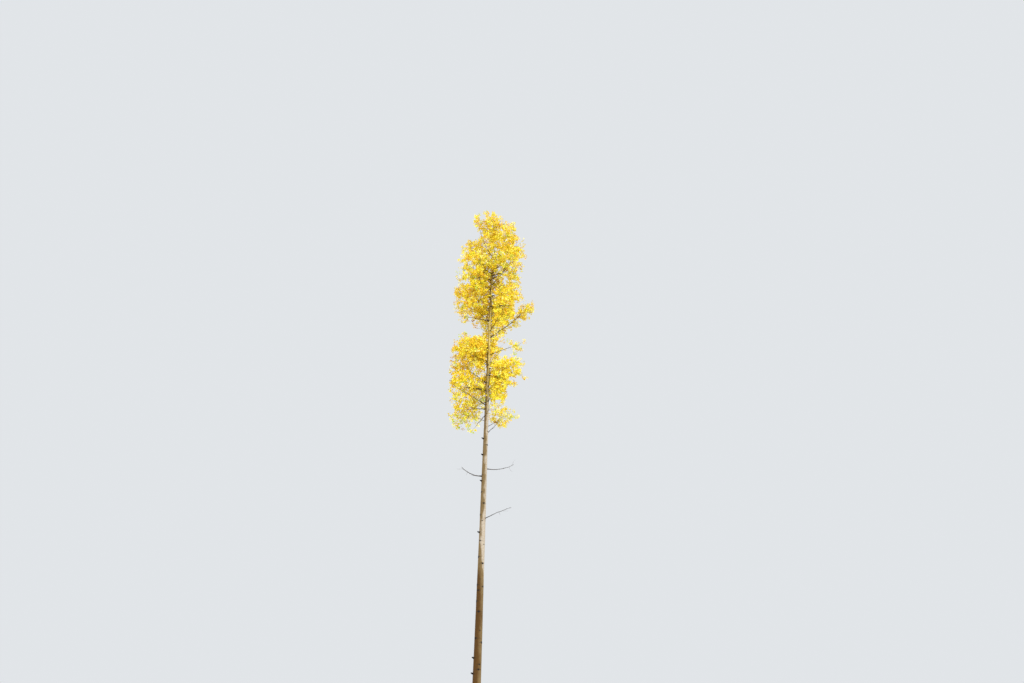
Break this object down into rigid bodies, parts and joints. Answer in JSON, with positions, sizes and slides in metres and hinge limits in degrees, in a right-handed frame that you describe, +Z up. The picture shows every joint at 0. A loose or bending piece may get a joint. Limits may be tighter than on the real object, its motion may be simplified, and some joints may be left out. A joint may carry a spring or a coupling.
{
  "type": "quaking aspen tree in autumn leaf",
  "caption": "Slender quaking aspen, a kind of poplar: tall pale trunk with a root flare, bare dead limbs, and a narrow crown of yellow autumn leaves.",
  "frame": {"origin": "middle of the flat cut under the trunk, at ground level", "axes": "+Z up along the trunk, +X to the right of the picture's view, +Y away from its camera"},
  "size_m": [3.1667, 2.5057, 19.7416],
  "materials": {
    "bark": "smooth pale bark with dark scars",
    "bough_bark": "matt brown-grey bark",
    "dead_wood": "matt weathered wood",
    "leaves": "yellow leaves with a soft sheen"
  },
  "bodies": {
    "root": {"bough_dead_high_right": "dead_wood", "bough_dead_left": "dead_wood", "bough_dead_long_right": "dead_wood", "bough_dead_low_right": "dead_wood", "bough_far_1": "bough_bark", "bough_far_2": "bough_bark", "bough_far_3": "bough_bark", "bough_far_4": "bough_bark", "bough_full_left": "bough_bark", "bough_full_right": "bough_bark", "bough_gold_left": "bough_bark", "bough_last_left": "bough_bark", "bough_last_right": "bough_bark", "bough_low_left": "bough_bark", "bough_low_right": "bough_bark", "bough_near_1": "bough_bark", "bough_near_2": "bough_bark", "bough_near_3": "bough_bark", "bough_near_4": "bough_bark", "bough_open_right": "bough_bark", "bough_reaching_right": "bough_bark", "bough_shoulder_left": "bough_bark", "bough_shoulder_right": "bough_bark", "bough_thin_right": "bough_bark", "bough_top_left": "bough_bark", "bough_top_outer": "bough_bark", "bough_top_right": "bough_bark", "bough_upper_left": "bough_bark", "bough_upper_right": "bough_bark", "leaves_far_1": "leaves", "leaves_far_2": "leaves", "leaves_far_3": "leaves", "leaves_far_4": "leaves", "leaves_full_left": "leaves", "leaves_full_right": "leaves", "leaves_gold_left": "leaves", "leaves_last_left": "leaves", "leaves_last_right": "leaves", "leaves_leader": "leaves", "leaves_low_left": "leaves", "leaves_low_right": "leaves", "leaves_near_1": "leaves", "leaves_near_2": "leaves", "leaves_near_3": "leaves", "leaves_near_4": "leaves", "leaves_open_right": "leaves", "leaves_reaching_right": "leaves", "leaves_shoulder_left": "leaves", "leaves_shoulder_right": "leaves", "leaves_thin_right": "leaves", "leaves_tip": "leaves", "leaves_top_left": "leaves", "leaves_top_outer": "leaves", "leaves_top_right": "leaves", "leaves_upper_left": "leaves", "leaves_upper_right": "leaves", "trunk": "bark"}
  },
  "joints": []
}
